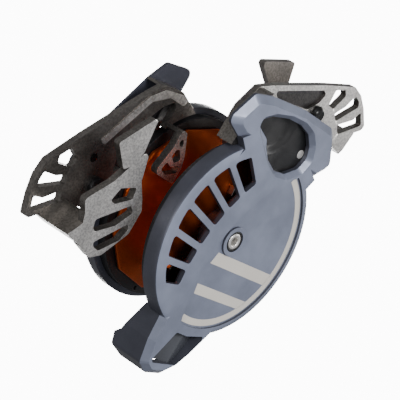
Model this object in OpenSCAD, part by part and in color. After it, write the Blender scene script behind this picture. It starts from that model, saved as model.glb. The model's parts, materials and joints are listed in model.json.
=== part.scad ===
// Assisted-braking belay device with two identical side plates, shown swung open.
// X and Y lie in the plane of the plates, +Y from the wheel axle towards the carabiner
// eye of the front half. +Z is the wheel axle, from the rear plate's outer face (Z = 0)
// to the front plate's outer face (Z = closed_h).

/* [Overall] */
// Thickness over both side plates
closed_h = 36; // [35:0.5:44]
// Angle that the rear half stands open
open_angle = 75; // [60:1:80]

/* [Side plates] */
// Radius of the round part of a side plate
disc_r = 33.8; // [33:0.2:37]
// Thickness of a side plate's face
plate_t = 3; // [2.4:0.1:3.4]
// Depth of the rim wall, from the outer face inwards
rim_depth = 6; // [5.6:0.1:6.4]
// Thickness of the rim wall
rim_wall = 2.3; // [1.8:0.1:2.6]
// Bevel along the plate's outer edge
edge_bevel = 2; // [1:0.1:2.4]
// Thickness of the face around the vents
vent_face_t = 1.6; // [1.2:0.1:2.4]
// Depth of the flat panel sunk in the face
panel_depth = 0.8; // [0.3:0.1:1.2]
// Number of vents in the face
vent_count = 6; // [3:1:6]
// Width of the bars between the vents
vent_bar = 2.2; // [1.6:0.1:3]

/* [Axle] */
// Radius of the axle
axle_r = 4; // [3.5:0.1:5]
// Radius of the hole through the axle
axle_bore_r = 1.5; // [1:0.1:1.8]
// Radius of the axle's bright end face
axle_end_r = 2.7; // [2.5:0.1:3.2]
// Wall of the wheel's bush
bush_wall = 2.5; // [1.5:0.1:3]
// Thickness of each thrust washer
washer_t = 0.6; // [0.4:0.1:1]
// Radial clearance of a running fit
run_gap = 0.05; // [0.02:0.01:0.09]

/* [Rope wheel] */
// Radius of the wheel's flanges at their corners
wheel_r = 28.9; // [27:0.1:29.5]
// Radius of the bottom of the rope groove
groove_r = 17; // [15:0.5:19]
// Width of the flat at the bottom of the groove
groove_flat = 4; // [3:0.5:6]
// Thickness of a flange at its edge
flange_lip = 1.2; // [0.8:0.1:1.6]

/* [Ratchet] */
// Thickness of a ratchet ring
ring_t = 3.2; // [2.8:0.1:3.6]
// Radius at the tips of the ring's teeth
ring_tip_r = 25; // [24.6:0.1:25.4]
// Radius at the roots of the ring's teeth
ring_root_r = 27; // [26.6:0.1:27.4]
// Number of teeth in a ring
tooth_count = 24; // [18:2:30]
// Radius at which the pawls turn
pawl_pivot_r = 14.5; // [14:0.1:15]
// Radius of a pawl's pin
pawl_pin_r = 1.5; // [1.2:0.1:1.8]
// Thickness of a pawl
pawl_t = 2.4; // [1.8:0.1:2.6]

/* [Rope guides] */
// Thickness of a guide's walls
guide_wall = 2.5; // [2:0.1:3]
// Width of the slot for the rope
rope_gap = 11.4; // [10.5:0.1:12]
// Depth of the guide's outer wall below the plate's face
guide_depth = 8.3; // [8:0.1:9]
// Radius of the screws that hold a guide
guide_screw_r = 1.5; // [1:0.1:1.7]

/* [Eye lever] */
// Thickness of the lever behind the carabiner eye
lever_t = 4.2; // [3.4:0.1:4.5]
// Radius of the lever's pin
lever_pin_r = 1.5; // [1.2:0.1:1.8]

/* [Hidden] */
$fn = 96;
eps = 0.01;
gap = 0.2;

// Heights, front half
face_z = closed_h;
plate_in_z = closed_h - plate_t;
rim_in_z = closed_h - rim_depth;
ring_gap = 0.3;
ring_z = rim_in_z - ring_t;
wheel_top_z = ring_z - ring_gap;
wheel_w = 2 * wheel_top_z - closed_h;
mid_z = closed_h / 2;

// Axle stack
collar_t = 1.2;
collar_r = axle_end_r + 0.9;
bush_r = axle_r + run_gap + bush_wall;
hub_r = bush_r + 1.5;
hub_z = wheel_top_z + washer_t;

// Outline of the head, anticlockwise from its left corner
head_pts = [[-33, 31.4], [-24.4, 28.7], [20.5, 30.4], [25.6, 36], [25.2, 39], [19, 46],
    [16.3, 47.7], [-1.5, 47.4], [-19.5, 45], [-27.5, 42.7]];
head_corner = 2.4;
head_bevel = 2.4;
neck_pts = [[-19, 16], [13, 18], [19.2, 26.6], [20.5, 30.5], [12, 34], [-18, 34],
    [-24.4, 28.9], [-20.4, 26.4], [-22, 21]];
// Carabiner eye
eye_pts = [[-18.4, 34.9], [-11.6, 32.8], [-9.8, 30.7], [-5.5, 27.6], [0.4, 25.7], [6.1, 26.7],
    [11.2, 30.6], [12.4, 34.8], [10.3, 38.6], [6.3, 41.6], [0.4, 42.7], [-7, 42.1],
    [-14.9, 39.8], [-19.1, 37]];
eye_corner = 3;
eye_sink = 1.5;
// Room behind the eye for its lever, in the rim
lever_room = [[-19, 16], [17, 36]];
// Focus of the vents' bars, of the ridge and of the panel's straight-looking side
focus = [40, -10];
vent_inner = 54.7;
vent_outer = disc_r - 4.1;
vent_start = 146.5;
vent_sweep = 45.6;
vent_pitch = vent_sweep / vent_count;
panel_edge = 47.3;
panel_r = disc_r - 3;

// Tail, anticlockwise from its left root
tail_pts = [[-12, -28], [-10.6, -40], [-8, -48], [-3, -50.2], [4.2, -48.6], [8.6, -44.9],
    [11.9, -39.5], [15.8, -31], [17.6, -26.5]];
tail_window = [[-6.2, -46.4], [6.6, -43.8], [8.6, -41.2], [12.4, -33], [11.9, -31.6], [4, -33.8],
    [-1.6, -34]];
tail_wall = 2.6;
tail_depth = 16;
tail_edge_depth = 6;
tail_x = 20;
tail_root_y = -24;
tail_end_y = -52;
tail_wall_x = 2;
// Profile of the tail's side wall, as distances from the axle and depths below the face
tail_profile = [[tail_root_y, 0], [tail_root_y, rim_depth], [-33, 10], [-42, 13.6],
    [-44, tail_depth], [-48, 15.4], [-51.5, 12], [tail_end_y, 0]];
// Grip in the tail's window: its depth, the place and depth of its ridge, and its slopes
grip_depth = 12;
grip_ridge_x = 4.5;
grip_ridge = 1.6;
grip_left = 7;
grip_right = 4.5;
grip_corner = [-1.6, -34];
grip_corner_r = 3.4;

// Rope guide outlines
fan_pts = [[-13.7, 48.6], [-10, 40], [8, 30], [21, 29.4], [25, 37.5], [31.2, 46.7],
    [40.6, 53.6], [41.2, 55.4], [35.6, 60], [30.4, 63], [25, 64.1], [10.7, 58.8], [-1.2, 53.8]];
fan_windows = [[[16.6, 59.4], [21, 61.2], [23, 59.8], [20.5, 53.8], [17.3, 53.7]],
    [[27.9, 61.8], [31.1, 60.9], [32.5, 59.3], [25.1, 51], [22.5, 52.7], [25.9, 56.8]],
    [[35.2, 58.4], [39.2, 54.9], [30, 47.8], [27, 50.2], [33.4, 54.7]]];
fan_panel = [[-11.6, 47.4], [-8, 45.6], [8.2, 48.6], [11.8, 52.6], [13, 56.2], [10.8, 56.9]];
fan_sink = 0.9;
// Part of the guide under the head, and the rib along it
cheek_pts = [[-22.4, 22], [8, 24], [14, 36], [12, 46], [-4, 50], [-13.7, 48.6], [-19.5, 45.6],
    [-23.2, 37]];
rib_pts = [[-20.4, 33], [-18.4, 40.4], [-12.8, 45.6], [8, 49.6], [8.4, 52.4], [-13.4, 48],
    [-18.8, 44.4], [-22.6, 36.4], [-22.6, 33]];
rib_h = 0.4;
cheek_wall_pts = [[-24, 25.4], [-21.4, 25.8], [-20.6, 36], [-12, 46.4], [-13.7, 48.4],
    [-19.5, 45.4], [-23.2, 37]];
leaf_pts = [[0.8, 47.9], [9.5, 41.1], [12.8, 35.2], [15.2, 31.8], [23, 29.4], [34, 33],
    [37.4, 36.6], [37.4, 44.3], [35.5, 46], [29.5, 51.6], [27, 55.6], [16.5, 50.8]];
// Dark flare that leads the rope in
flare_pts = [[3, 49], [8, 48.5], [12, 51], [8.1, 60.5], [-7.3, 54.2]];
leaf_windows = [[[11.9, 40.8], [15.3, 38.8], [20.6, 43.7], [21, 46.2], [16, 46.2]],
    [[16.9, 37.4], [17.7, 34.4], [24.8, 37], [30.8, 42.4], [30.6, 44], [28.3, 45.8]],
    [[21.2, 32.7], [22.3, 31], [26.6, 31], [33.8, 35.4], [34.2, 38.2], [33.4, 39.8]]];
web_pts = [[28.6, 44], [36.4, 42.6], [37.3, 44.5], [38, 51.4], [34, 49.8], [30.4, 48.9],
    [28.4, 47.6]];
guide_boss = [[16.8, 30.8], [20.6, 30.4], [22, 36], [20.8, 39], [16, 44.2], [16, 38]];
// Finger in the wheel's groove, between the rope's two strands
finger_pts = [[-14.2, 31.2], [-11.4, 27.6], [-8.6, 24.2], [-5.6, 21.8], [-0.4, 20.4], [0.2, 21.6],
    [2, 29.4], [1, 31], [-8, 31.6], [-11.6, 33], [-13.4, 33.2]];
finger_post = [[-14, 31.3], [-11.9, 32.1], [-12, 33], [-13, 33.2]];
finger_slots = [[[-8.8, 28.4], [-7, 25], [-4.6, 26.6], [-5.4, 29.4], [-8, 29.6]],
    [[-5.8, 23.6], [-3.4, 22.4], [0, 26.2], [0, 29.2], [-3.2, 29.4], [-3, 26.4]],
    [[-12, 30.4], [-10.2, 28], [-9.4, 29.8], [-10.4, 31]]];
finger_t = 2.6;
// Space between the fingers of the two halves
finger_gap = 0.6;
screw_places = [[19, 33.4], [18.2, 40]];
screw_head_t = 1.4;
screw_grip = 1.6;
rivet_place = [13, 49];
rivet_r = 3;
rivet_dome = 2.2;

// Eye lever
lever_place = [10.6, 35];
lever_boss_r = 4.6;
lever_lap = 1;
lever_top_z = plate_in_z - gap;
lever_thin_z = rim_in_z + gap;
// How far the lever swings, and the distance of its far end from its pin
lever_swing = 50;
lever_reach = 30.6;
lever_knob = [-6.5, 34.6];
lever_knob_r = 4.2;
lever_dish = [-9, 38.5];
lever_dish_r = 7.6;
lever_dish_d = 1.4;
spring_wire_r = 0.3;
spring_turns = 3;
spring_r = lever_pin_r + run_gap + 0.15 + spring_wire_r;
spring_pocket_r = spring_r + spring_wire_r + 0.2;
spring_pocket_d = 2 * spring_wire_r * spring_turns + 0.2;

// Pawls
pawl_z = wheel_top_z + 0.1;
pawl_tail = 4.6;
pawl_boss_r = 3;
pawl_rest = 75;
pawl_throw = 33;
// Distance from pin to nose, so that the thrown nose stands among the ring's teeth
pawl_bite = 1.1;
pawl_nose = reach_to(pawl_pivot_r, 90 + pawl_throw - pawl_rest, ring_tip_r + pawl_bite);
tooth_pitch = 360 / tooth_count;
pawl_thrown = [0, pawl_pivot_r] + turned([0, pawl_nose], pawl_throw - pawl_rest);
// The thrown pawl's nose stands just inside a gap between two teeth
ring_phase = atan2(pawl_thrown[1], pawl_thrown[0]) - 0.28 * tooth_pitch;
pin_head_t = 0.5;
pin_head_r = pawl_pin_r + 0.9;

// Points of a closed outline with its corners rounded to radius r
function rounded(pts, r, steps = 5) = [for (i = [0 : len(pts) - 1])
    let (p = pts[i],
        a = pts[(i + len(pts) - 1) % len(pts)] - p,
        b = pts[(i + 1) % len(pts)] - p,
        u = a / norm(a), v = b / norm(b),
        half = acos(u * v) / 2,
        reach = min(r / tan(half), 0.45 * norm(a), 0.45 * norm(b)),
        middle = p + (u + v) / norm(u + v) * reach / cos(half),
        s = p + u * reach - middle, e = p + v * reach - middle,
        from = atan2(s[1], s[0]),
        turn = (atan2(e[1], e[0]) - from + 540) % 360 - 180)
    for (k = [0 : steps])
        middle + norm(s) * [cos(from + turn * k / steps), sin(from + turn * k / steps)]];

// Points of an anticlockwise outline with each side moved inwards by d
function inset(pts, d) = [for (i = [0 : len(pts) - 1])
    let (p = pts[i],
        a = p - pts[(i + len(pts) - 1) % len(pts)],
        b = pts[(i + 1) % len(pts)] - p,
        m = [-a[1], a[0]] / norm(a), n = [-b[1], b[0]] / norm(b))
    p + d * (m + n) / (1 + m * n)];

// Length of a line that runs at an angle from a point at height y to a circle about the axle
function reach_to(y, angle, r) = -y * sin(angle) + sqrt(r * r - pow(y * cos(angle), 2));

function turned(p, angle) = [p[0] * cos(angle) - p[1] * sin(angle),
    p[0] * sin(angle) + p[1] * cos(angle)];

module slab(pts, z0, z1) {
    translate([0, 0, z0]) linear_extrude(z1 - z0) polygon(pts);
}

// Flat piece whose outer edge is bevelled, with its face at face_z
module bevelled(pts, corner, bevel, depth) {
    hull() {
        slab(rounded(pts, corner), face_z - depth, face_z - edge_bevel);
        slab(rounded(inset(pts, bevel), corner), face_z - eps, face_z);
    }
}

// Moves a piece of the front half to its place in the rear half
module as_rear() {
    rotate([0, 0, open_angle]) translate([0, 0, closed_h]) rotate([0, 180, 0]) children();
}

// Side plates

module vent(i) {
    a0 = vent_start + i * vent_pitch;
    a1 = a0 + vent_pitch;
    half = vent_bar / 2;
    low = focus + half * [-sin(a0), cos(a0)];
    high = focus - half * [-sin(a1), cos(a1)];
    pts = [low + vent_inner * [cos(a0), sin(a0)],
        high + vent_inner * [cos(a1), sin(a1)],
        vent_end(high, a1), vent_end((low + high) / 2, (a0 + a1) / 2), vent_end(low, a0)];
    slab(rounded(pts, 1), rim_in_z - 1, face_z + 1);
}

// Hollow under the vents, where the face is thin
module vent_hollow() {
    ends = [vent_start - 1, vent_start + vent_sweep + 1];
    steps = [for (k = [0 : 8]) ends[0] + (ends[1] - ends[0]) * k / 8];
    intersection() {
        slab(concat([for (a = steps) focus + (vent_inner - 1) * [cos(a), sin(a)]],
            [for (k = [8 : -1 : 0]) focus + 3 * vent_inner * [cos(steps[k]), sin(steps[k])]]),
            rim_in_z - 1, face_z - vent_face_t);
        cylinder(r = disc_r - rim_wall, h = closed_h);
    }
}

// Outer end of a line that runs from near the focus across the vents
function vent_end(p, angle) =
    let (d = [cos(angle), sin(angle)], along = p * d)
    p + d * (-along + sqrt(along * along - p * p + vent_outer * vent_outer));

module panel_recess() {
    intersection() {
        translate([0, 0, face_z - panel_depth]) cylinder(r = panel_r, h = plate_t);
        translate([focus[0], focus[1], face_z - 2 * plate_t])
            cylinder(r = panel_edge, h = 3 * plate_t, $fn = 180);
    }
}

module tail_wall_band() {
    difference() {
        intersection() {
            slab(rounded(tail_pts, 2), face_z - tail_depth, face_z - edge_bevel);
            rotate([90, 0, 90]) translate([0, 0, -tail_x]) linear_extrude(2 * tail_x)
                polygon([for (p = tail_profile) [p[0], face_z - p[1]]]);
            union() {
                translate([-tail_x, tail_end_y, 0]) cube([tail_x + tail_wall_x, 60, face_z]);
                translate([-tail_x, tail_end_y, face_z - tail_edge_depth])
                    cube([2 * tail_x, 60, tail_edge_depth]);
            }
        }
        slab(rounded(inset(tail_pts, tail_wall), 1), -1, face_z + 1);
        // Clear of the wheel and its ring
        cylinder(r = disc_r - rim_wall / 2, h = rim_in_z);
        cylinder(r = disc_r - rim_wall, h = plate_in_z);
    }
}

module side_plate(bore_r) {
    color("slategray") difference() {
        union() {
            rotate_extrude() polygon([[0, plate_in_z], [disc_r - rim_wall, plate_in_z],
                [disc_r - rim_wall, rim_in_z], [disc_r, rim_in_z],
                [disc_r, face_z - edge_bevel], [disc_r - 0.3 * edge_bevel, face_z - 0.3 * edge_bevel],
                [disc_r - edge_bevel, face_z], [0, face_z]]);
            translate([0, 0, hub_z]) cylinder(r = hub_r, h = face_z - hub_z - eps);
            bevelled(head_pts, head_corner, head_bevel, plate_t);
            slab(neck_pts, plate_in_z, face_z);
            bevelled(tail_pts, 2, edge_bevel, plate_t);
            tail_wall_band();
        }
        slab(rounded(tail_window, 1.2), -1, face_z + 1);
        slab(rounded(eye_pts, eye_corner), rim_in_z - 1, face_z + 1);
        hull() {
            slab(rounded(eye_pts, eye_corner), face_z - eye_sink, face_z + 1);
            slab(rounded(inset(eye_pts, -eye_sink), eye_corner), face_z, face_z + 1);
        }
        translate([lever_room[0][0], lever_room[0][1], rim_in_z - 1])
            cube([lever_room[1][0] - lever_room[0][0], lever_room[1][1] - lever_room[0][1],
                rim_depth - plate_t + 1]);
        vent_hollow();
        for (i = [0 : vent_count - 1]) vent(i);
        difference() {
            panel_recess();
            cylinder(r = collar_r + 1.4, h = closed_h + 1);
        }
        cylinder(r = bore_r, h = face_z - collar_t);
        translate([0, 0, face_z - collar_t]) cylinder(r = collar_r, h = 2 * collar_t);
        for (p = screw_places) translate([p[0], p[1], plate_in_z - 1])
            cylinder(r = guide_screw_r, h = 1 + screw_grip, $fn = 32);
        for (a = ring_screw_angles) rotate([0, 0, a]) translate([ring_screw_r, 0, rim_in_z - 1])
            cylinder(r = ring_screw_hole, h = rim_depth - plate_t + 1 + ring_screw_grip, $fn = 24);
    }
}

module front_side_plate() { side_plate(axle_r + run_gap); }
module rear_side_plate() { as_rear() side_plate(axle_r); }

// Rope guides

guide_top_z = closed_h - guide_depth;
fan_z = guide_top_z - guide_wall;
leaf_top_z = fan_z - rope_gap;
leaf_z = leaf_top_z - guide_wall;

finger_z = mid_z + finger_gap / 2;

module rope_guide() {
    color("silver") difference() {
        union() {
            difference() {
                union() {
                    slab(rounded(fan_pts, 1.4), fan_z, guide_top_z);
                    slab(rounded(cheek_pts, 1.4), fan_z, guide_top_z);
                    slab(rounded(rib_pts, 1), fan_z - rib_h, fan_z + eps);
                    difference() {
                        slab(cheek_wall_pts, guide_top_z - eps, plate_in_z);
                        translate([lever_place[0], lever_place[1], 0])
                            cylinder(r = lever_reach + 2 * gap, h = closed_h);
                    }
                    slab(rounded(guide_boss, 1), guide_top_z - eps, plate_in_z);
                }
                slab(rounded(eye_pts, eye_corner), fan_z - rib_h - 1, guide_top_z + 1);
                cylinder(r = disc_r + 2 * gap, h = plate_in_z + 1);
            }
            translate([lever_place[0], lever_place[1], fan_z])
                cylinder(r = lever_pin_r + 1, h = guide_wall);
            slab([lever_place, lever_place + [0, 3], [15, 42], [16, 34], lever_place - [0, 1]],
                fan_z, guide_top_z);
            slab(rounded(leaf_pts, 1.6), leaf_z, leaf_top_z);
            slab(rounded(flare_pts, 1), leaf_z, leaf_top_z);
            slab(web_pts, leaf_z, guide_top_z);
            slab(rounded(finger_pts, 1.4), finger_z, finger_z + finger_t);
            slab(finger_post, finger_z, fan_z + eps);
        }
        for (w = fan_windows) slab(rounded(w, 0.7), fan_z - 1, guide_top_z + 1);
        slab(rounded(fan_panel, 0.9), guide_top_z - fan_sink, guide_top_z + 1);
        for (w = leaf_windows) slab(rounded(w, 0.8), leaf_z - 1, leaf_top_z + 1);
        for (w = finger_slots) slab(rounded(w, 0.8), finger_z - 1, finger_z + finger_t + 1);
        for (p = screw_places) translate([p[0], p[1], fan_z - 1])
            cylinder(r = guide_screw_r, h = face_z, $fn = 32);
        translate([lever_place[0], lever_place[1], fan_z - 1])
            cylinder(r = lever_pin_r, h = guide_wall + 2, $fn = 48);
        translate([rivet_place[0], rivet_place[1], fan_z - 1])
            cylinder(r = rivet_r / 2, h = guide_wall + 2, $fn = 32);
    }
}

module front_rope_guide() { rope_guide(); }
module rear_rope_guide() { as_rear() rope_guide(); }

// Countersunk from the inside: head, shank and a driving slot
module guide_screws() {
    color("dimgray") for (p = screw_places) translate([p[0], p[1], 0]) difference() {
        union() {
            translate([0, 0, fan_z - screw_head_t]) cylinder(r = 2 * guide_screw_r, h = screw_head_t);
            translate([0, 0, fan_z - eps])
                cylinder(r = guide_screw_r, h = plate_in_z + screw_grip - fan_z, $fn = 32);
        }
        translate([0, 0, fan_z - screw_head_t - eps]) cylinder(r = guide_screw_r, h = 0.9, $fn = 6);
    }
}

module front_guide_screws() { guide_screws(); }
module rear_guide_screws() { as_rear() guide_screws(); }

module guide_rivet() {
    color([0.1, 0.1, 0.1]) translate([rivet_place[0], rivet_place[1], 0]) union() {
        translate([0, 0, fan_z]) cylinder(r = rivet_r / 2, h = guide_wall + 0.5, $fn = 32);
        rotate_extrude($fn = 48) polygon([[0, guide_top_z], [rivet_r, guide_top_z],
            [rivet_r, guide_top_z + rivet_dome / 2], [rivet_r * 0.7, guide_top_z + rivet_dome],
            [0, guide_top_z + rivet_dome]]);
    }
}

module front_guide_rivet() { guide_rivet(); }
module rear_guide_rivet() { as_rear() guide_rivet(); }

// Eye lever

module eye_lever() {
    bottom = lever_top_z - lever_t;
    rivet = rivet_place - lever_place;
    notch = lever_place + turned(rivet, lever_swing);
    color([0.08, 0.08, 0.08]) difference() {
        union() {
            slab(rounded(inset(eye_pts, -lever_lap), eye_corner), bottom, lever_top_z);
            translate([lever_place[0], lever_place[1], bottom]) cylinder(r = lever_boss_r, h = lever_t);
        }
        // Clear of the ratchet ring
        cylinder(r = disc_r, h = lever_thin_z);
        translate([lever_dish[0], lever_dish[1], lever_top_z - lever_dish_d])
            cylinder(r1 = lever_dish_r, r2 = lever_dish_r + 3, h = lever_dish_d + eps);
        // Hollow on the inside, round a boss
        difference() {
            slab(rounded(inset(eye_pts, 1.6), 2), bottom - 1, bottom + 1);
            for (p = [lever_place, lever_knob]) translate([p[0], p[1], bottom - 1])
                cylinder(r = lever_knob_r, h = 2);
        }
        // Stop against the rivet
        translate([notch[0], notch[1], bottom - 1]) cylinder(r = rivet_r + gap, h = 2 + lever_t);
        translate([lever_place[0], lever_place[1], 0]) {
            cylinder(r = lever_pin_r + run_gap, h = closed_h, $fn = 48);
            translate([0, 0, bottom - eps])
                cylinder(r = spring_pocket_r, h = spring_pocket_d, $fn = 48);
        }
    }
}

module front_eye_lever() { eye_lever(); }
module rear_eye_lever() { as_rear() eye_lever(); }

module lever_pin() {
    color("silver") translate([lever_place[0], lever_place[1], fan_z])
        cylinder(r = lever_pin_r, h = lever_top_z - fan_z, $fn = 48);
}

module front_lever_pin() { lever_pin(); }
module rear_lever_pin() { as_rear() lever_pin(); }

// Closely wound coil, drawn as rings that touch
module coil(r, wire_r, turns) {
    for (i = [0 : turns - 1]) translate([0, 0, (2 * i + 1) * wire_r])
        rotate_extrude($fn = 48) translate([r, 0]) circle(r = wire_r * 1.02, $fn = 16);
}

module lever_spring() {
    color("silver") translate([lever_place[0], lever_place[1], lever_top_z - lever_t + 0.1])
        coil(spring_r, spring_wire_r, spring_turns);
}

module front_lever_spring() { lever_spring(); }
module rear_lever_spring() { as_rear() lever_spring(); }

// Tail grip

module tail_grip() {
    color([0.12, 0.12, 0.13]) difference() {
        intersection() {
            slab(rounded(tail_window, 1.2), face_z - tail_depth, face_z);
            rotate([90, 0, 0]) translate([0, 0, 20]) linear_extrude(40) polygon([
                [-tail_x, face_z - grip_depth], [tail_x, face_z - grip_depth],
                [tail_x, face_z - grip_right - 3], [grip_ridge_x, face_z - grip_ridge],
                [-tail_x, face_z - grip_left - 6]]);
        }
        translate([grip_corner[0], grip_corner[1], 0]) cylinder(r = grip_corner_r, h = face_z);
        cylinder(r = disc_r, h = rim_in_z);
    }
}

module front_tail_grip() { tail_grip(); }
module rear_tail_grip() { as_rear() tail_grip(); }

// Ratchet rings

ring_screw_angles = [-20, -100, 62];
ring_r = disc_r - rim_wall - 0.1;
ring_screw_r = ring_r - 1.5;
ring_screw_hole = 0.7;
ring_screw_grip = 1.2;
ring_pad = [3, 4.6];

// phase turns the teeth, so that they stand the same way in both halves
module ratchet_ring(phase) {
    teeth = [for (i = [0 : tooth_count - 1]) each [
        turned([ring_root_r, 0], phase + i * tooth_pitch),
        turned([ring_root_r, 0], phase + (i + 0.45) * tooth_pitch),
        turned([ring_tip_r, 0], phase + (i + 0.62) * tooth_pitch),
        turned([ring_tip_r, 0], phase + (i + 0.83) * tooth_pitch)]];
    color([0.1, 0.1, 0.1]) difference() {
        union() {
            translate([0, 0, ring_z]) cylinder(r = ring_r, h = ring_t);
            for (a = ring_screw_angles) rotate([0, 0, a])
                translate([ring_r - 0.15 - ring_pad[0], -ring_pad[1] / 2, ring_z])
                    cube([ring_pad[0], ring_pad[1], plate_in_z - ring_z]);
        }
        slab(teeth, ring_z - 1, rim_in_z + 1);
        for (a = ring_screw_angles) rotate([0, 0, a]) translate([ring_screw_r, 0, ring_z - 1])
            cylinder(r = ring_screw_hole, h = closed_h, $fn = 24);
    }
}

module front_ratchet_ring() { ratchet_ring(ring_phase); }
module rear_ratchet_ring() { as_rear() ratchet_ring(ring_phase + open_angle); }

module ring_screws() {
    color("dimgray") for (a = ring_screw_angles) rotate([0, 0, a])
        translate([ring_screw_r, 0, ring_z + 0.6])
            cylinder(r = ring_screw_hole, h = plate_in_z - ring_z - 0.6 + ring_screw_grip, $fn = 24);
}

module front_ring_screws() { ring_screws(); }
module rear_ring_screws() { as_rear() ring_screws(); }

// Rope wheel

module rope_wheel() {
    low = mid_z - wheel_w / 2;
    color("darkorange") difference() {
        rotate([0, 0, 7.5]) rotate_extrude($fn = 12) polygon([[0, low], [wheel_r, low],
            [wheel_r, low + flange_lip], [groove_r, mid_z - groove_flat / 2],
            [groove_r, mid_z + groove_flat / 2], [wheel_r, wheel_top_z - flange_lip],
            [wheel_r, wheel_top_z], [0, wheel_top_z]]);
        cylinder(r = bush_r, h = closed_h);
        for (s = [-1, 1]) translate([0, s * pawl_pivot_r, 0])
            cylinder(r = pawl_pin_r, h = closed_h, $fn = 48);
    }
}

module wheel_bush() {
    color("peru") translate([0, 0, mid_z - wheel_w / 2]) difference() {
        cylinder(r = bush_r, h = wheel_w);
        translate([0, 0, -1]) cylinder(r = axle_r + run_gap, h = wheel_w + 2);
    }
}

// One pawl in the front, turned by half a turn about the axle for the second one
module pawl() {
    nose = turned([0, pawl_nose], -pawl_rest);
    color("lightgray") difference() {
        translate([0, pawl_pivot_r, pawl_z]) union() {
            cylinder(r = pawl_boss_r, h = pawl_t, $fn = 48);
            linear_extrude(pawl_t) polygon([[-2, -2.2], [nose[0] - 0.6, nose[1] - 1.4], nose,
                [nose[0] - 1.6, nose[1] + 0.8], [0, pawl_boss_r]]);
            linear_extrude(pawl_t) polygon([[0, pawl_boss_r], [0, -pawl_boss_r],
                [-pawl_tail, -2.6], [-pawl_tail - 0.6, 0.4]]);
        }
        translate([0, pawl_pivot_r, 0]) {
            cylinder(r = pawl_pin_r + run_gap, h = closed_h, $fn = 48);
            translate([0, 0, pawl_z - eps]) cylinder(r = pawl_spring_pocket, h = 1.3, $fn = 48);
        }
    }
}

pawl_spring_wire = 0.2;
pawl_spring_r = pawl_pin_r + run_gap + 0.1 + pawl_spring_wire;
pawl_spring_pocket = pawl_spring_r + pawl_spring_wire + 0.15;

module half_turn() { rotate([0, 0, 180]) children(); }
module wheel_flip() { translate([0, 0, closed_h]) rotate([0, 180, 0]) children(); }

module front_pawl_a() { pawl(); }
module front_pawl_b() { half_turn() pawl(); }
module rear_pawl_a() { wheel_flip() pawl(); }
module rear_pawl_b() { wheel_flip() half_turn() pawl(); }

module pawl_pins() {
    top = pawl_z + pawl_t + 0.1;
    color("silver") for (s = [-1, 1]) translate([0, s * pawl_pivot_r, 0]) {
        translate([0, 0, closed_h - top]) cylinder(r = pawl_pin_r, h = 2 * top - closed_h, $fn = 48);
        for (z = [top, closed_h - top - pin_head_t]) translate([0, 0, z - eps])
            cylinder(r = pin_head_r, h = pin_head_t + 2 * eps, $fn = 48);
    }
}

module pawl_spring() {
    translate([0, pawl_pivot_r, pawl_z + 0.05]) coil(pawl_spring_r, pawl_spring_wire, 2);
}

module pawl_springs() {
    color("silver") {
        pawl_spring();
        half_turn() pawl_spring();
        wheel_flip() pawl_spring();
        wheel_flip() half_turn() pawl_spring();
    }
}

// Axle

module axle() {
    color("silver") difference() {
        union() {
            translate([0, 0, collar_t]) cylinder(r = axle_r, h = closed_h - 2 * collar_t);
            cylinder(r = axle_end_r, h = closed_h);
        }
        translate([0, 0, -1]) cylinder(r = axle_bore_r, h = closed_h + 2, $fn = 48);
    }
}

module axle_collar() {
    color([0.1, 0.1, 0.1]) difference() {
        translate([0, 0, closed_h - collar_t + 0.05]) cylinder(r = collar_r - 0.05, h = collar_t - 0.15);
        cylinder(r = axle_end_r, h = closed_h + 1);
    }
}

module front_axle_collar() { axle_collar(); }
module rear_axle_collar() { as_rear() axle_collar(); }

module thrust_washer() {
    color("gray") difference() {
        translate([0, 0, wheel_top_z + 0.05]) cylinder(r = hub_r - 0.4, h = washer_t - 0.1);
        cylinder(r = axle_r + 0.05, h = closed_h + 1);
    }
}

module front_thrust_washer() { thrust_washer(); }
module rear_thrust_washer() { as_rear() thrust_washer(); }

front_side_plate();
rear_side_plate();
front_rope_guide();
rear_rope_guide();
front_guide_screws();
rear_guide_screws();
front_guide_rivet();
rear_guide_rivet();
front_eye_lever();
rear_eye_lever();
front_lever_pin();
rear_lever_pin();
front_lever_spring();
rear_lever_spring();
front_tail_grip();
rear_tail_grip();
front_ratchet_ring();
rear_ratchet_ring();
front_ring_screws();
rear_ring_screws();
rope_wheel();
wheel_bush();
pawl_pins();
pawl_springs();
front_pawl_a();
front_pawl_b();
rear_pawl_a();
rear_pawl_b();
axle();
front_axle_collar();
rear_axle_collar();
front_thrust_washer();
rear_thrust_washer();
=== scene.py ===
"""Looks of a belay device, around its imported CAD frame."""
import json
import math

import bmesh
import bpy
from mathutils import Matrix, Vector


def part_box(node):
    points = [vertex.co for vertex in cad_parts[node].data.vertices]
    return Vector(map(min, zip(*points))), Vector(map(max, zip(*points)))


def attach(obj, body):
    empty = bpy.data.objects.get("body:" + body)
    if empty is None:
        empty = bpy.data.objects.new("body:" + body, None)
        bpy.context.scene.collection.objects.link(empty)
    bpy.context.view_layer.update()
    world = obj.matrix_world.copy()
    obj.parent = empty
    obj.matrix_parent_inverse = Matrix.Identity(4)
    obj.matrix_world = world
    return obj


MM = 0.001
# Angle that the rear half stands open at rest
OPEN_ANGLE = math.radians(75)

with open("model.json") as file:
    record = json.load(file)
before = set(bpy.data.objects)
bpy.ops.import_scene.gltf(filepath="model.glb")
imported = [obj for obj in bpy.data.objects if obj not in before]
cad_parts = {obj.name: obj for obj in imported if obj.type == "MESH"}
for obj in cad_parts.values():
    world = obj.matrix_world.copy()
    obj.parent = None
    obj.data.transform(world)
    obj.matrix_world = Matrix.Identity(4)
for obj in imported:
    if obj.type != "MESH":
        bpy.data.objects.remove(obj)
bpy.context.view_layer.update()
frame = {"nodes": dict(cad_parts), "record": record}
nodes = frame["nodes"]
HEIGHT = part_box("axle")[1].z


def linked(name, data):
    """A new object of that data, in the scene."""
    obj = bpy.data.objects.new(name, data)
    bpy.context.scene.collection.objects.link(obj)
    return obj


# Node-tree helpers

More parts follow.
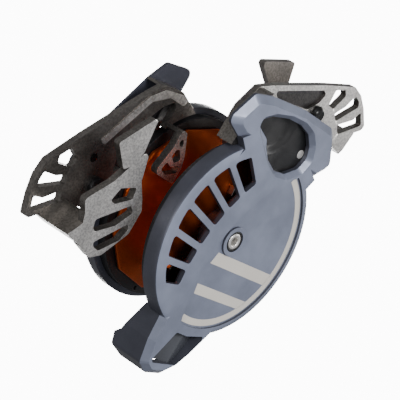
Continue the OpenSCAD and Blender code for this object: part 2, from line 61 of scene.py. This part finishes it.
def new_material(name):
    material = bpy.data.materials.new(name)
    material.use_nodes = True
    return material, material.node_tree, material.node_tree.nodes["Principled BSDF"]


def add(tree, kind, **values):
    """A node of that kind, with inputs set by name and other settings by attribute."""
    node = tree.nodes.new(kind)
    for key, value in values.items():
        if key in node.inputs:
            node.inputs[key].default_value = value
        else:
            setattr(node, key, value)
    return node


def ramp(tree, source, stops):
    node = tree.nodes.new("ShaderNodeValToRGB")
    elements = node.color_ramp.elements
    while len(elements) < len(stops):
        elements.new(0.5)
    for element, (place, color) in zip(elements, stops):
        element.position = place
        element.color = (*color, 1) if len(color) == 3 else color
    tree.links.new(source, node.inputs[0])
    return node.outputs[0]


def grey(v):
    return (v, v, v)


def noise(tree, scale, detail=3.0, rough=0.5):
    coords = add(tree, "ShaderNodeTexCoord")
    node = add(tree, "ShaderNodeTexNoise", Scale=scale, Detail=detail, Roughness=rough)
    tree.links.new(coords.outputs["Object"], node.inputs["Vector"])
    return node.outputs["Fac"]


def mixed(tree, factor, a, b, blend="MIX"):
    """Colour a mixed with colour b by the factor. Colours are sockets or triples."""
    node = tree.nodes.new("ShaderNodeMix")
    node.data_type = "RGBA"
    node.blend_type = blend
    for socket, value in ((node.inputs[0], factor), (node.inputs[6], a), (node.inputs[7], b)):
        if isinstance(value, bpy.types.NodeSocket):
            tree.links.new(value, socket)
        elif isinstance(value, (int, float)):
            socket.default_value = value
        else:
            socket.default_value = (*value, 1)
    return node.outputs[2]


def bump(tree, shader, height, strength, distance):
    node = add(tree, "ShaderNodeBump", Strength=strength, Distance=distance)
    tree.links.new(height, node.inputs["Height"])
    tree.links.new(node.outputs[0], shader.inputs["Normal"])


def finish(tree, shader, color, metallic, roughness, spread, grain, depth):
    """Sets the colour, the metallic part, mottled roughness and fine grain.

    Roughness varies by the spread either way, and the grain is a noise scale and a depth in m."""
    tree.links.new(color, shader.inputs["Base Color"])
    shader.inputs["Metallic"].default_value = metallic
    rough = ramp(tree, noise(tree, 350, 3),
                 [(0.3, grey(roughness - spread)), (0.7, grey(roughness + spread))])
    tree.links.new(rough, shader.inputs["Roughness"])
    bump(tree, shader, noise(tree, grain, 2), 0.6, depth)


def surface(name, base, tint, metallic, roughness, spread, grain, depth):
    """A finish with mottled colour, mottled roughness and fine grain."""
    material, tree, shader = new_material(name)
    mottle = ramp(tree, noise(tree, 90, 4), [(0.3, grey(0)), (0.7, grey(1))])
    color = mixed(tree, mottle, base, tint)
    finish(tree, shader, color, metallic, roughness, spread, grain, depth)
    return material


def math_node(tree, operation, a, b=None, c=None, clamp=False):
    """One maths node. a, b and c are sockets or numbers."""
    node = tree.nodes.new("ShaderNodeMath")
    node.operation = operation
    node.use_clamp = clamp
    for socket, value in zip(node.inputs, (a, b, c)):
        if isinstance(value, bpy.types.NodeSocket):
            tree.links.new(value, socket)
        elif value is not None:
            socket.default_value = value
    return node.outputs[0]


def height_and_up(tree):
    """Height above the middle of the device, and the upward part of the normal, as sockets."""
    coords = add(tree, "ShaderNodeTexCoord")
    split = tree.nodes.new("ShaderNodeSeparateXYZ")
    tree.links.new(coords.outputs["Object"], split.inputs[0])
    normal = tree.nodes.new("ShaderNodeSeparateXYZ")
    tree.links.new(coords.outputs["Normal"], normal.inputs[0])
    height = math_node(tree, "SUBTRACT", split.outputs[2], HEIGHT / 2)
    return height, normal.outputs[2]


def facing_out(tree):
    """1 on faces turned to the outside of their half, 0 on walls and inner faces. The plates'
    walls and inner faces get painted shade from it, the guides' walls and inner faces a painted
    sheen.
    """
    height, up = height_and_up(tree)
    outward = math_node(tree, "MULTIPLY", math_node(tree, "SIGN", height), up)
    return ramp(tree, outward, [(0.3, grey(0)), (0.85, grey(1))])


def at_levels(tree, levels):
    """1 on level faces at those distances from the middle of the device, 0 elsewhere."""
    height, up = height_and_up(tree)
    distance = math_node(tree, "ABSOLUTE", height)
    total = 0.0
    for level in levels:
        near = math_node(tree, "COMPARE", distance, level * MM, LEVEL_TOLERANCE * MM)
        total = math_node(tree, "ADD", near, total)
    flat = ramp(tree, math_node(tree, "ABSOLUTE", up), [(0.55, grey(0)), (0.9, grey(1))])
    return math_node(tree, "MULTIPLY", flat, total, clamp=True)


def lit_and_shaded(name, dark, bright, mask, metallic, roughness, spread, grain, depth, speckle=0.0,
            inner=None):
    """A material painted with light and shade: the dark colour is painted shade where the mask is
    0, the bright colour is the lit colour where it is 1, with mottling and grain.

    inner is the colour painted in place of dark on walls and inner faces, where it differs.
    mask is a function that takes the node tree and returns a socket."""
    # The dark and bright colours are shaded and lit copies of one finish, so they are painted
    # light and shade
    material, tree, shader = new_material(name)
    mottle = ramp(tree, noise(tree, 70, 5), [(0.35, grey(0.82)), (0.65, grey(1.1))])
    if inner:
        dark = mixed(tree, facing_out(tree), inner, dark)
    color = mixed(tree, mask(tree), dark, bright)
    color = mixed(tree, 1.0, color, mottle, "MULTIPLY")
    if speckle:
        spots = ramp(tree, noise(tree, 1300, 2), [(0.4, grey(1 - speckle)), (0.6, grey(1))])
        color = mixed(tree, 1.0, color, spots, "MULTIPLY")
    finish(tree, shader, color, metallic, roughness, spread, grain, depth)
    return material


# Distances from the middle of the device to the guides' polished faces, painted in the bright
# highlight colour, in mm: the fan, the leaf and the rib under the head, and both faces of the
# finger beside the groove
POLISHED_HIGHLIGHT_LEVELS = (9.7, 6.7, 2.9, 0.3)
# How far a face may lie from a level that it counts as, in mm
LEVEL_TOLERANCE = 0.15

# Each surface() and lit_and_shaded() below ends with: metallic, roughness, spread, grain, depth

MATERIALS = {
    # Anodised plate: lit blue-grey on outer faces, and the dark colour is painted shade on its
    # walls and inner faces
    "anodised_plate": lit_and_shaded(
        "anodised_plate", (0.058, 0.061, 0.08), (0.232, 0.256, 0.338),
        facing_out, 0.35, 0.4, 0.05, 2600, 0.00003),
    # Guide steel: a painted highlight on the polished level faces, painted shade in the dark
    # colour on the other outer faces, and a painted sheen in the inner colour on walls and inner
    # faces
    "guide_steel": lit_and_shaded(
        "guide_steel", (0.085, 0.08, 0.078), (0.84, 0.81, 0.77),
        lambda tree: at_levels(tree, POLISHED_HIGHLIGHT_LEVELS), 0.9, 0.34, 0.07, 1500, 0.00008,
        speckle=0.3, inner=(0.22, 0.205, 0.19)),
    "dark_screw": surface("dark_screw", (0.05, 0.05, 0.055), (0.08, 0.08, 0.08), 0.9,
                          0.35, 0.05, 2000, 0.00002),
    "black_rivet": surface("black_rivet", (0.008, 0.008, 0.008), (0.014, 0.014, 0.014), 0.3,
                           0.2, 0.04, 2000, 0.00001),
    "black_plastic": surface("black_plastic", (0.004, 0.004, 0.0045), (0.008, 0.0075, 0.0075), 0.0,
                             0.34, 0.05, 2200, 0.00004),
    "tail_plastic": surface("tail_plastic", (0.04, 0.042, 0.05), (0.06, 0.064, 0.075), 0.0,
                            0.36, 0.05, 2200, 0.00003),
    # Bright steel: the colour is pushed almost to white with a lower metallic part, partly a
    # painted highlight so that the small pins read bright
    "bright_steel": surface("bright_steel", (0.88, 0.86, 0.83), (0.78, 0.76, 0.72), 0.75,
                            0.3, 0.05, 1200, 0.00002),
    "spring_steel": surface("spring_steel", (0.55, 0.55, 0.54), (0.45, 0.45, 0.44), 1.0,
                            0.3, 0.05, 1200, 0.00002),
    "black_ring": surface("black_ring", (0.012, 0.012, 0.013), (0.02, 0.02, 0.021), 0.4,
                          0.4, 0.05, 2400, 0.00002),
    "pawl_steel": surface("pawl_steel", (0.42, 0.4, 0.37), (0.3, 0.29, 0.27), 1.0,
                          0.35, 0.06, 1800, 0.00003),
    "washer_plastic": surface("washer_plastic", (0.2, 0.2, 0.2), (0.24, 0.24, 0.24), 0.0,
                              0.45, 0.05, 2000, 0.00002),
    "orange_wheel": surface("orange_wheel", (0.62, 0.105, 0.016), (0.44, 0.07, 0.011), 0.85,
                            0.34, 0.05, 1800, 0.00004),
    "bronze": surface("bronze", (0.42, 0.25, 0.11), (0.34, 0.2, 0.09), 1.0,
                      0.4, 0.05, 1800, 0.00003),
    "cream_print": surface("cream_print", (0.6, 0.565, 0.51), (0.64, 0.605, 0.55), 0.0,
                           0.5, 0.05, 2600, 0.00001),
}


WELD_DISTANCE = 0.01 * MM
EDGE_SOFTENING = 0.3 * MM
# Edges sharper than this are softened
EDGE_ANGLE = math.radians(28)


def finish_cad_nodes():
    """Gives each CAD node its slot's material, merged vertices and softened edges."""
    for part in frame["record"]["subparts"]:
        obj = nodes[part["node"]]
        obj.data.materials.clear()
        obj.data.materials.append(MATERIALS[part["material_slot"]])
        weld = obj.modifiers.new("weld", "WELD")
        weld.merge_threshold = WELD_DISTANCE
        bevel = obj.modifiers.new("soft_edges", "BEVEL")
        bevel.width = EDGE_SOFTENING
        bevel.segments = 2
        bevel.limit_method = "ANGLE"
        bevel.angle_limit = EDGE_ANGLE
        bevel.harden_normals = False
        normals = obj.modifiers.new("normals", "WEIGHTED_NORMAL")
        normals.keep_sharp = True
        for polygon in obj.data.polygons:
            polygon.use_smooth = True


# The plain print on each plate's sunk panel, in mm in the front half's own frame

PRINT_TOP = 35.24
PRINT_DEPTH = 0.06
# Inner and outer radius of the arc, and the angles it runs between, in degrees
PRINT_R = (27.9, 30.2)
PRINT_ARC = (-95, 67)
# Upper and lower free corner of each stripe
PRINT_STRIPES = (((-3.4, -5.5), (-4.4, -9.7)), ((-4.6, -17.2), (-3.6, -20.6)))
# How far the stripes climb to where they meet the arc, and how far they reach into it
PRINT_CLIMB = 2
PRINT_LAP = 0.1


def arc_points(radius, start, end, count=48):
    steps = [math.radians(start + (end - start) * k / count) for k in range(count + 1)]
    return [(radius * math.cos(a), radius * math.sin(a)) for a in steps]


def print_outlines():
    """Closed outlines of the arc and of the two stripes that meet it."""
    yield arc_points(PRINT_R[1], *PRINT_ARC) + arc_points(PRINT_R[0], *reversed(PRINT_ARC))
    for upper, lower in PRINT_STRIPES:
        ends = [math.degrees(math.asin((y + PRINT_CLIMB) / PRINT_R[0]))
                for _, y in (lower, upper)]
        yield [upper, lower] + arc_points(PRINT_R[0] + PRINT_LAP, *ends, count=6)


def plate_print(name, body, as_rear):
    """A thin raised print on the sunk panel of one half."""
    mesh = bmesh.new()
    for outline in print_outlines():
        rings = []
        for z in (PRINT_TOP - PRINT_DEPTH, PRINT_TOP):
            rings.append([mesh.verts.new(Vector((x, y, z)) * MM) for x, y in outline])
        low, high = rings
        mesh.faces.new(high)
        mesh.faces.new(list(reversed(low)))
        for k in range(len(outline)):
            n = (k + 1) % len(outline)
            mesh.faces.new((low[k], low[n], high[n], high[k]))
    bmesh.ops.recalc_face_normals(mesh, faces=mesh.faces)
    if as_rear:
        flip = Matrix.Translation((0, 0, HEIGHT)) @ Matrix.Rotation(math.pi, 4, "Y")
        mesh.transform(Matrix.Rotation(OPEN_ANGLE, 4, "Z") @ flip)
    data = bpy.data.meshes.new(name)
    mesh.to_mesh(data)
    mesh.free()
    data.materials.append(MATERIALS["cream_print"])
    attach(linked(name, data), body)


# Camera, lights and backdrop

TARGET = Vector((-9.9, 5.7, 23)) * MM
CAMERA_DISTANCE = 0.635
CAMERA_ELEVATION = math.radians(37.2)
CAMERA_ROLL = math.radians(121)
LIGHT_TARGET = Vector((0, 0, 0.02))
BACKDROP_DISTANCE = 0.9
BACKDROP_HALF = 0.3
BACKDROP_STRENGTH = 12.0


def camera():
    """Long lens from in front of the device, rolled so that the axle leans to the lower right."""
    data = bpy.data.cameras.new("camera")
    data.sensor_width = 36
    data.lens = 180
    data.clip_end = 10
    obj = linked("camera", data)
    back = Vector((-math.cos(CAMERA_ELEVATION), 0, math.sin(CAMERA_ELEVATION)))
    level = Vector((0, -1, 0))
    rise = back.cross(level)
    right = level * math.cos(CAMERA_ROLL) + rise * math.sin(CAMERA_ROLL)
    up = back.cross(right)
    turn = Matrix((right, up, back)).transposed().to_4x4()
    obj.matrix_world = Matrix.Translation(TARGET + back * CAMERA_DISTANCE) @ turn
    bpy.context.scene.camera = obj


def area_light(name, place, size, power):
    data = bpy.data.lights.new(name, "AREA")
    data.shape = "DISK"
    data.size = size
    data.energy = power
    obj = linked(name, data)
    obj.location = place
    obj.rotation_euler = (LIGHT_TARGET - Vector(place)).to_track_quat("-Z", "Y").to_euler()


def sky():
    """A grey world, darkest a little above the level of the lower horizon."""
    world = bpy.data.worlds.new("studio")
    world.use_nodes = True
    tree = world.node_tree
    coords = add(tree, "ShaderNodeTexCoord")
    split = tree.nodes.new("ShaderNodeSeparateXYZ")
    tree.links.new(coords.outputs["Generated"], split.inputs[0])
    color = ramp(tree, split.outputs[2], [(0.0, grey(0.5)), (0.35, (0.18, 0.185, 0.2)),
                                          (0.6, (0.5, 0.51, 0.54)), (1.0, (0.9, 0.92, 0.96))])
    background = tree.nodes["Background"]
    tree.links.new(color, background.inputs["Color"])
    background.inputs["Strength"].default_value = 0.6
    bpy.context.scene.world = world


def white_backdrop():
    """A bright board square to the camera's view, so far back that it hardly lights the part."""
    material, _, shader = new_material("backdrop")
    shader.inputs["Base Color"].default_value = (0, 0, 0, 1)
    shader.inputs["Emission Color"].default_value = (1, 1, 1, 1)
    shader.inputs["Emission Strength"].default_value = BACKDROP_STRENGTH
    shader.inputs["Specular IOR Level"].default_value = 0
    mesh = bpy.data.meshes.new("backdrop")
    corners = [(x * BACKDROP_HALF, y * BACKDROP_HALF, 0)
               for x, y in ((-1, -1), (1, -1), (1, 1), (-1, 1))]
    mesh.from_pydata(corners, [], [(0, 1, 2, 3)])
    mesh.materials.append(material)
    backdrop = linked("backdrop", mesh)
    back = bpy.context.scene.camera.matrix_world.to_3x3().col[2]
    turn = back.to_track_quat("Z", "Y").to_matrix().to_4x4()
    backdrop.matrix_world = Matrix.Translation(TARGET - back * BACKDROP_DISTANCE) @ turn


def studio():
    sky()
    area_light("key", (-0.25, 0.3, 0.6), 0.3, 4.2)
    area_light("fill", (-0.6, -0.1, 0.2), 0.3, 1.8)
    area_light("rim", (0.5, 0.3, 0.35), 0.3, 1.4)
    white_backdrop()


camera()
studio()
finish_cad_nodes()
plate_print("front_print", "front_half", False)
plate_print("rear_print", "rear_half", True)
